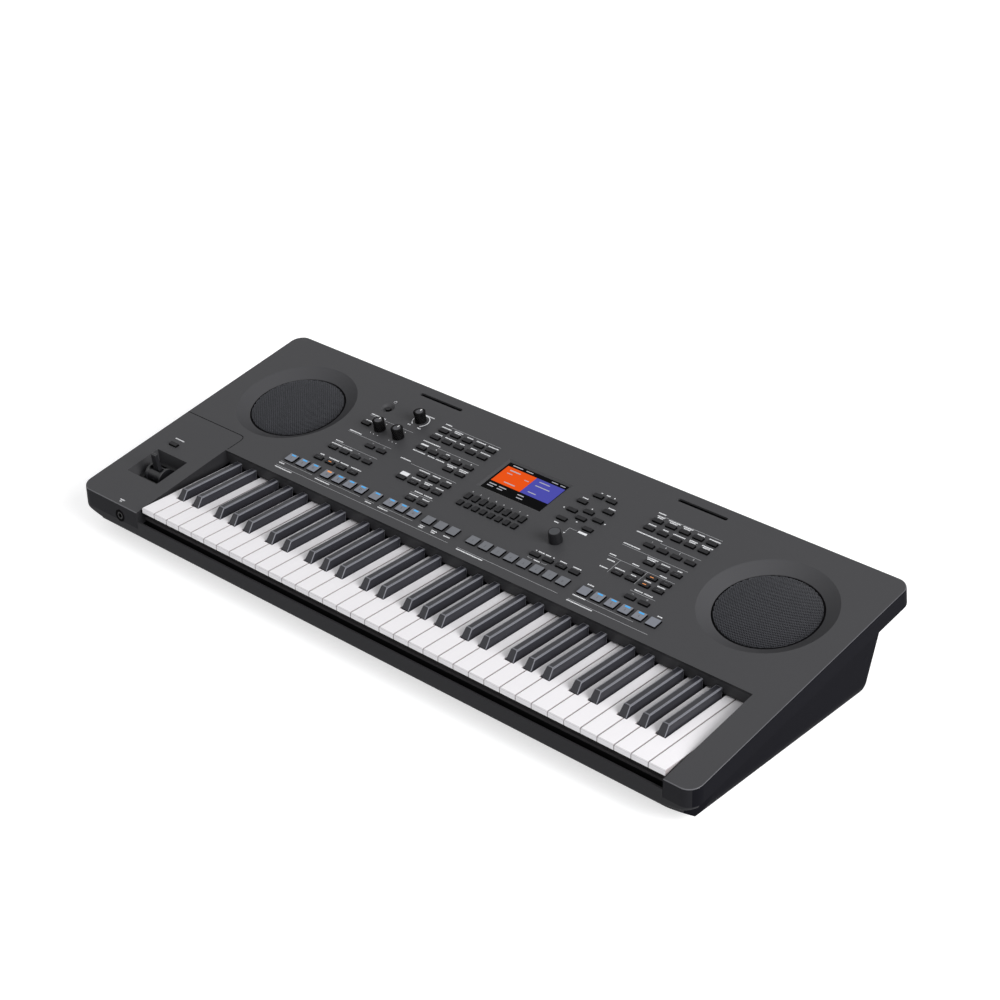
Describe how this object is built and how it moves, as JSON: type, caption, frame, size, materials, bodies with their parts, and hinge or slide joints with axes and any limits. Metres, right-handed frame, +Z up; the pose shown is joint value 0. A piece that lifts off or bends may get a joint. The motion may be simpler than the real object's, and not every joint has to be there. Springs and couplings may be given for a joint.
{
  "type": "arranger keyboard",
  "caption": "Electronic arranger keyboard in charcoal plastic with hinged piano keys, panel buttons and pads, knobs, joystick, colour display and round speakers.",
  "frame": {"origin": "on the floor under the middle of the case", "axes": "+X to the player's right along the keys, +Y from the player to the rear, +Z up"},
  "size_m": [1.004, 0.404, 0.1401],
  "materials": {
    "top_case": "satin",
    "bottom_case": "matte",
    "white_key": "gloss",
    "black_key": "satin",
    "pad_cap": "satin",
    "button_cap": "satin",
    "knob_cap": "satin",
    "stick": "satin",
    "inner_frame": "matte",
    "grille": "perforated, matte",
    "driver": "matte",
    "lens": "gloss",
    "screen": "lit",
    "board": "matte",
    "switch": "matte",
    "steel": "plain",
    "felt": "felt",
    "rubber_black": "matte",
    "rubber_grey": "matte",
    "socket": "matte"
  },
  "bodies": {
    "case": {"upper_case": "top_case", "left_end_block": "top_case", "right_end_block": "top_case", "lower_case": "bottom_case", "keybed": "inner_frame", "key_pivot_rod": "steel", "key_felt": "felt", "key_contact_board": "board", "contact_rubber": "rubber_grey", "speaker_grilles": "grille", "speaker_drivers": "driver", "display_lens": "lens", "display_module": "screen", "circuit_boards": "board", "panel_switches": "switch", "rear_sockets": "socket", "headphone_jack": "socket", "joystick_housing": "inner_frame", "rubber_feet": "rubber_black", "case_screws": "steel"},
    "key_c": {"key_c": "white_key"},
    "key_d": {"key_d": "white_key"},
    "key_e": {"key_e": "white_key"},
    "key_f": {"key_f": "white_key"},
    "key_g": {"key_g": "white_key"},
    "key_a": {"key_a": "white_key"},
    "key_b": {"key_b": "white_key"},
    "key_top_c": {"key_top_c": "white_key"},
    "key_c_sharp": {"key_c_sharp": "black_key"},
    "key_d_sharp": {"key_d_sharp": "black_key"},
    "key_f_sharp": {"key_f_sharp": "black_key"},
    "key_g_sharp": {"key_g_sharp": "black_key"},
    "key_a_sharp": {"key_a_sharp": "black_key"},
    "intro_pads": {"intro_pads": "pad_cap"},
    "main_pads": {"main_pads": "pad_cap"},
    "ending_pads": {"ending_pads": "pad_cap"},
    "start_pads": {"start_pads": "pad_cap"},
    "registration_pads": {"registration_pads": "pad_cap"},
    "multi_pads": {"multi_pads": "pad_cap"},
    "assign_button": {"assign_button": "button_cap"},
    "tempo_buttons": {"tempo_buttons": "button_cap"},
    "style_option_buttons": {"style_option_buttons": "button_cap"},
    "style_buttons": {"style_buttons": "button_cap"},
    "song_buttons": {"song_buttons": "button_cap"},
    "function_buttons": {"function_buttons": "button_cap"},
    "display_buttons": {"display_buttons": "button_cap"},
    "cursor_buttons": {"cursor_buttons": "button_cap"},
    "bank_buttons": {"bank_buttons": "button_cap"},
    "voice_buttons": {"voice_buttons": "button_cap"},
    "one_touch_buttons": {"one_touch_buttons": "button_cap"},
    "effect_buttons": {"effect_buttons": "button_cap"},
    "part_buttons": {"part_buttons": "button_cap"},
    "hold_button": {"hold_button": "button_cap"},
    "power_button": {"power_button": "button_cap"},
    "volume_knob": {"volume_knob": "knob_cap"},
    "left_live_knob": {"left_live_knob": "knob_cap"},
    "right_live_knob": {"right_live_knob": "knob_cap"},
    "data_dial": {"data_dial": "knob_cap"},
    "joystick_drum": {"joystick_drum": "stick"},
    "joystick_lever": {"joystick_lever": "stick"}
  },
  "joints": [
    {"name": "key_c_hinge", "type": "hinge", "parent": "case", "child": "key_c", "pos_m": [0, -0.0024, 0.0617], "axis": [1, 0, 0], "range_deg": [0, 3], "stiffness_Nm_per_rad": 6, "springref_deg": -4.58},
    {"name": "key_d_hinge", "type": "hinge", "parent": "case", "child": "key_d", "pos_m": [0, -0.0024, 0.0617], "axis": [1, 0, 0], "range_deg": [0, 3], "stiffness_Nm_per_rad": 6, "springref_deg": -4.58},
    {"name": "key_e_hinge", "type": "hinge", "parent": "case", "child": "key_e", "pos_m": [0, -0.0024, 0.0617], "axis": [1, 0, 0], "range_deg": [0, 3], "stiffness_Nm_per_rad": 6, "springref_deg": -4.58},
    {"name": "key_f_hinge", "type": "hinge", "parent": "case", "child": "key_f", "pos_m": [0, -0.0024, 0.0617], "axis": [1, 0, 0], "range_deg": [0, 3], "stiffness_Nm_per_rad": 6, "springref_deg": -4.58},
    {"name": "key_g_hinge", "type": "hinge", "parent": "case", "child": "key_g", "pos_m": [0, -0.0024, 0.0617], "axis": [1, 0, 0], "range_deg": [0, 3], "stiffness_Nm_per_rad": 6, "springref_deg": -4.58},
    {"name": "key_a_hinge", "type": "hinge", "parent": "case", "child": "key_a", "pos_m": [0, -0.0024, 0.0617], "axis": [1, 0, 0], "range_deg": [0, 3], "stiffness_Nm_per_rad": 6, "springref_deg": -4.58},
    {"name": "key_b_hinge", "type": "hinge", "parent": "case", "child": "key_b", "pos_m": [0, -0.0024, 0.0617], "axis": [1, 0, 0], "range_deg": [0, 3], "stiffness_Nm_per_rad": 6, "springref_deg": -4.58},
    {"name": "key_top_c_hinge", "type": "hinge", "parent": "case", "child": "key_top_c", "pos_m": [0, -0.0024, 0.0617], "axis": [1, 0, 0], "range_deg": [0, 3], "stiffness_Nm_per_rad": 1.2, "springref_deg": -4.58},
    {"name": "key_c_sharp_hinge", "type": "hinge", "parent": "case", "child": "key_c_sharp", "pos_m": [0, -0.0024, 0.0617], "axis": [1, 0, 0], "range_deg": [0, 3], "stiffness_Nm_per_rad": 6, "springref_deg": -4.58},
    {"name": "key_d_sharp_hinge", "type": "hinge", "parent": "case", "child": "key_d_sharp", "pos_m": [0, -0.0024, 0.0617], "axis": [1, 0, 0], "range_deg": [0, 3], "stiffness_Nm_per_rad": 6, "springref_deg": -4.58},
    {"name": "key_f_sharp_hinge", "type": "hinge", "parent": "case", "child": "key_f_sharp", "pos_m": [0, -0.0024, 0.0617], "axis": [1, 0, 0], "range_deg": [0, 3], "stiffness_Nm_per_rad": 6, "springref_deg": -4.58},
    {"name": "key_g_sharp_hinge", "type": "hinge", "parent": "case", "child": "key_g_sharp", "pos_m": [0, -0.0024, 0.0617], "axis": [1, 0, 0], "range_deg": [0, 3], "stiffness_Nm_per_rad": 6, "springref_deg": -4.58},
    {"name": "key_a_sharp_hinge", "type": "hinge", "parent": "case", "child": "key_a_sharp", "pos_m": [0, -0.0024, 0.0617], "axis": [1, 0, 0], "range_deg": [0, 3], "stiffness_Nm_per_rad": 6, "springref_deg": -4.58},
    {"name": "intro_pads_press", "type": "slide", "parent": "case", "child": "intro_pads", "axis": [0, 0.1706, -0.9853], "range_m": [0, 0.0012], "stiffness_N_per_m": 800, "springref_m": -0.0006},
    {"name": "main_pads_press", "type": "slide", "parent": "case", "child": "main_pads", "axis": [0, 0.1706, -0.9853], "range_m": [0, 0.0012], "stiffness_N_per_m": 800, "springref_m": -0.0006},
    {"name": "ending_pads_press", "type": "slide", "parent": "case", "child": "ending_pads", "axis": [0, 0.1706, -0.9853], "range_m": [0, 0.0012], "stiffness_N_per_m": 800, "springref_m": -0.0006},
    {"name": "start_pads_press", "type": "slide", "parent": "case", "child": "start_pads", "axis": [0, 0.1706, -0.9853], "range_m": [0, 0.0012], "stiffness_N_per_m": 800, "springref_m": -0.0006},
    {"name": "registration_pads_press", "type": "slide", "parent": "case", "child": "registration_pads", "axis": [0, 0.1706, -0.9853], "range_m": [0, 0.0012], "stiffness_N_per_m": 800, "springref_m": -0.0006},
    {"name": "multi_pads_press", "type": "slide", "parent": "case", "child": "multi_pads", "axis": [0, 0.1706, -0.9853], "range_m": [0, 0.0012], "stiffness_N_per_m": 800, "springref_m": -0.0006},
    {"name": "assign_button_press", "type": "slide", "parent": "case", "child": "assign_button", "axis": [0, 0.1706, -0.9853], "range_m": [0, 0.0012], "stiffness_N_per_m": 800, "springref_m": -0.0006},
    {"name": "tempo_buttons_press", "type": "slide", "parent": "case", "child": "tempo_buttons", "axis": [0, 0.1706, -0.9853], "range_m": [0, 0.0012], "stiffness_N_per_m": 800, "springref_m": -0.0006},
    {"name": "style_option_buttons_press", "type": "slide", "parent": "case", "child": "style_option_buttons", "axis": [0, 0.1706, -0.9853], "range_m": [0, 0.0012], "stiffness_N_per_m": 800, "springref_m": -0.0006},
    {"name": "style_buttons_press", "type": "slide", "parent": "case", "child": "style_buttons", "axis": [0, 0.1706, -0.9853], "range_m": [0, 0.0012], "stiffness_N_per_m": 800, "springref_m": -0.0006},
    {"name": "song_buttons_press", "type": "slide", "parent": "case", "child": "song_buttons", "axis": [0, 0.1706, -0.9853], "range_m": [0, 0.0012], "stiffness_N_per_m": 800, "springref_m": -0.0006},
    {"name": "function_buttons_press", "type": "slide", "parent": "case", "child": "function_buttons", "axis": [0, 0.1706, -0.9853], "range_m": [0, 0.0012], "stiffness_N_per_m": 800, "springref_m": -0.0006},
    {"name": "display_buttons_press", "type": "slide", "parent": "case", "child": "display_buttons", "axis": [0, 0.1706, -0.9853], "range_m": [0, 0.0012], "stiffness_N_per_m": 800, "springref_m": -0.0006},
    {"name": "cursor_buttons_press", "type": "slide", "parent": "case", "child": "cursor_buttons", "axis": [0, 0.1706, -0.9853], "range_m": [0, 0.0012], "stiffness_N_per_m": 800, "springref_m": -0.0006},
    {"name": "bank_buttons_press", "type": "slide", "parent": "case", "child": "bank_buttons", "axis": [0, 0.1706, -0.9853], "range_m": [0, 0.0012], "stiffness_N_per_m": 800, "springref_m": -0.0006},
    {"name": "voice_buttons_press", "type": "slide", "parent": "case", "child": "voice_buttons", "axis": [0, 0.1706, -0.9853], "range_m": [0, 0.0012], "stiffness_N_per_m": 800, "springref_m": -0.0006},
    {"name": "one_touch_buttons_press", "type": "slide", "parent": "case", "child": "one_touch_buttons", "axis": [0, 0.1706, -0.9853], "range_m": [0, 0.0012], "stiffness_N_per_m": 800, "springref_m": -0.0006},
    {"name": "effect_buttons_press", "type": "slide", "parent": "case", "child": "effect_buttons", "axis": [0, 0.1706, -0.9853], "range_m": [0, 0.0012], "stiffness_N_per_m": 800, "springref_m": -0.0006},
    {"name": "part_buttons_press", "type": "slide", "parent": "case", "child": "part_buttons", "axis": [0, 0.1706, -0.9853], "range_m": [0, 0.0012], "stiffness_N_per_m": 800, "springref_m": -0.0006},
    {"name": "hold_button_press", "type": "slide", "parent": "case", "child": "hold_button", "axis": [0, 0.1706, -0.9853], "range_m": [0, 0.0012], "stiffness_N_per_m": 800, "springref_m": -0.0006},
    {"name": "power_button_press", "type": "slide", "parent": "case", "child": "power_button", "axis": [0, 0.1706, -0.9853], "range_m": [0, 0.0012], "stiffness_N_per_m": 800, "springref_m": -0.0006},
    {"name": "volume_knob_turn", "type": "hinge", "parent": "case", "child": "volume_knob", "pos_m": [-0.2094, 0.13499, 0.12313], "axis": [0, -0.1706, 0.9853], "range_deg": [-150, 150]},
    {"name": "left_live_knob_turn", "type": "hinge", "parent": "case", "child": "left_live_knob", "pos_m": [-0.2435, 0.09321, 0.1159], "axis": [0, -0.1706, 0.9853], "range_deg": [-150, 150]},
    {"name": "right_live_knob_turn", "type": "hinge", "parent": "case", "child": "right_live_knob", "pos_m": [-0.21, 0.09321, 0.1159], "axis": [0, -0.1706, 0.9853], "range_deg": [-150, 150]},
    {"name": "data_dial_turn", "type": "hinge", "parent": "case", "child": "data_dial", "pos_m": [0.1047, 0.0398, 0.10665], "axis": [0, -0.1706, 0.9853], "continuous": true},
    {"name": "joystick_drum_rock", "type": "hinge", "parent": "case", "child": "joystick_drum", "pos_m": [-0.4425, -0.11766, 0.06418], "axis": [1, 0, 0], "range_deg": [-15, 15], "stiffness_Nm_per_rad": 0.3},
    {"name": "joystick_lever_rock", "type": "hinge", "parent": "joystick_drum", "child": "joystick_lever", "pos_m": [-0.4425, -0.11766, 0.06418], "axis": [0, 0.9853, 0.1706], "range_deg": [-15, 15], "stiffness_Nm_per_rad": 0.3}
  ]
}
